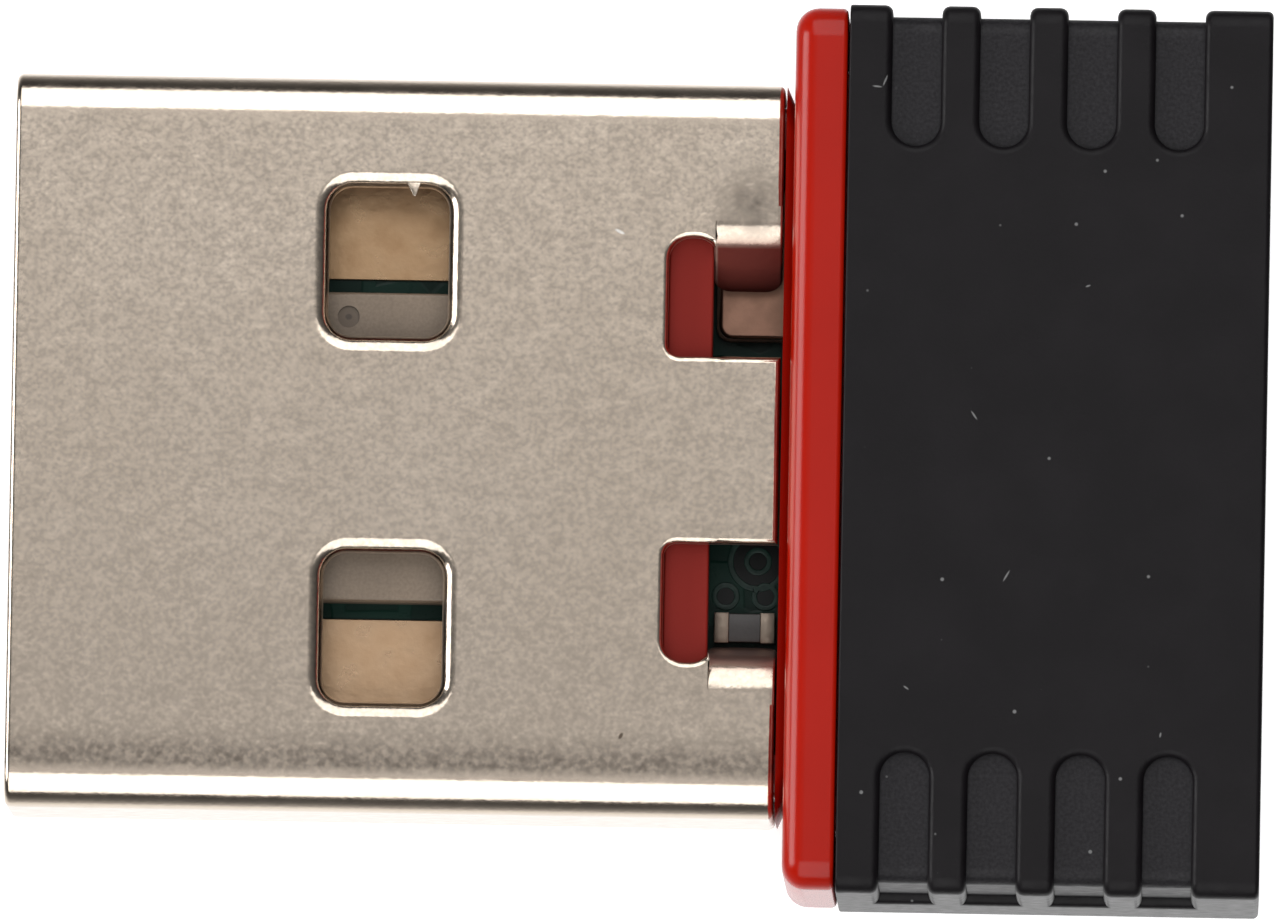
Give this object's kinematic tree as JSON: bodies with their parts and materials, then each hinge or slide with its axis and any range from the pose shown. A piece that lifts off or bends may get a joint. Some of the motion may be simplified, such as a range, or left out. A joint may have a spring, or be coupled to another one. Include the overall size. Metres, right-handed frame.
{
  "type": "usb wifi adapter",
  "caption": "Nano USB wireless adapter: folded steel plug with hooked tabs, red carrier with collar, circuit board and a ribbed black cap.",
  "frame": {"origin": "centre of the bounding box in X and Y, at the underside of the black cap, the face the adapter stands on", "axes": "+X from the plug's mouth towards the closed end of the cap, along the direction of insertion reversed; +Y across the plug; +Z out of the plug face that has the hooked tabs"},
  "size_m": [0.0206, 0.0144, 0.007],
  "materials": {
    "plug_nickel": "nickel plated steel with a satin, finely grained face and bright bends",
    "red_plastic": "glossy moulded red plastic",
    "cap_black": "black moulded plastic with a fine matte texture",
    "board_green": "dark green solder mask",
    "gold_plate": "thin gold plating over copper",
    "copper": "copper foil under solder mask",
    "chip_plastic": "grey-brown moulded chip package",
    "ceramic": "fired ceramic with tinned ends",
    "dark_ceramic": "dark ceramic or ferrite with tinned ends",
    "lid_metal": "nickel plated lid of the crystal"
  },
  "bodies": {
    "root": {"plug_shell": "plug_nickel", "carrier": "red_plastic", "cap": "cap_black", "circuit_board": "board_green", "contact_power": "gold_plate", "contact_data_minus": "gold_plate", "contact_data_plus": "gold_plate", "contact_ground": "gold_plate", "ground_strip_left": "gold_plate", "ground_strip_right": "gold_plate", "antenna_trace": "copper", "wifi_chip": "chip_plastic", "crystal_base": "ceramic", "crystal_lid": "lid_metal", "bias_resistor": "dark_ceramic", "decoupling_capacitor_left": "ceramic", "decoupling_capacitor_right": "ceramic", "crystal_capacitor_inner": "ceramic", "crystal_capacitor_outer": "ceramic", "antenna_capacitor": "ceramic", "antenna_inductor": "dark_ceramic", "input_capacitor": "ceramic", "power_inductor": "dark_ceramic"}
  },
  "joints": []
}
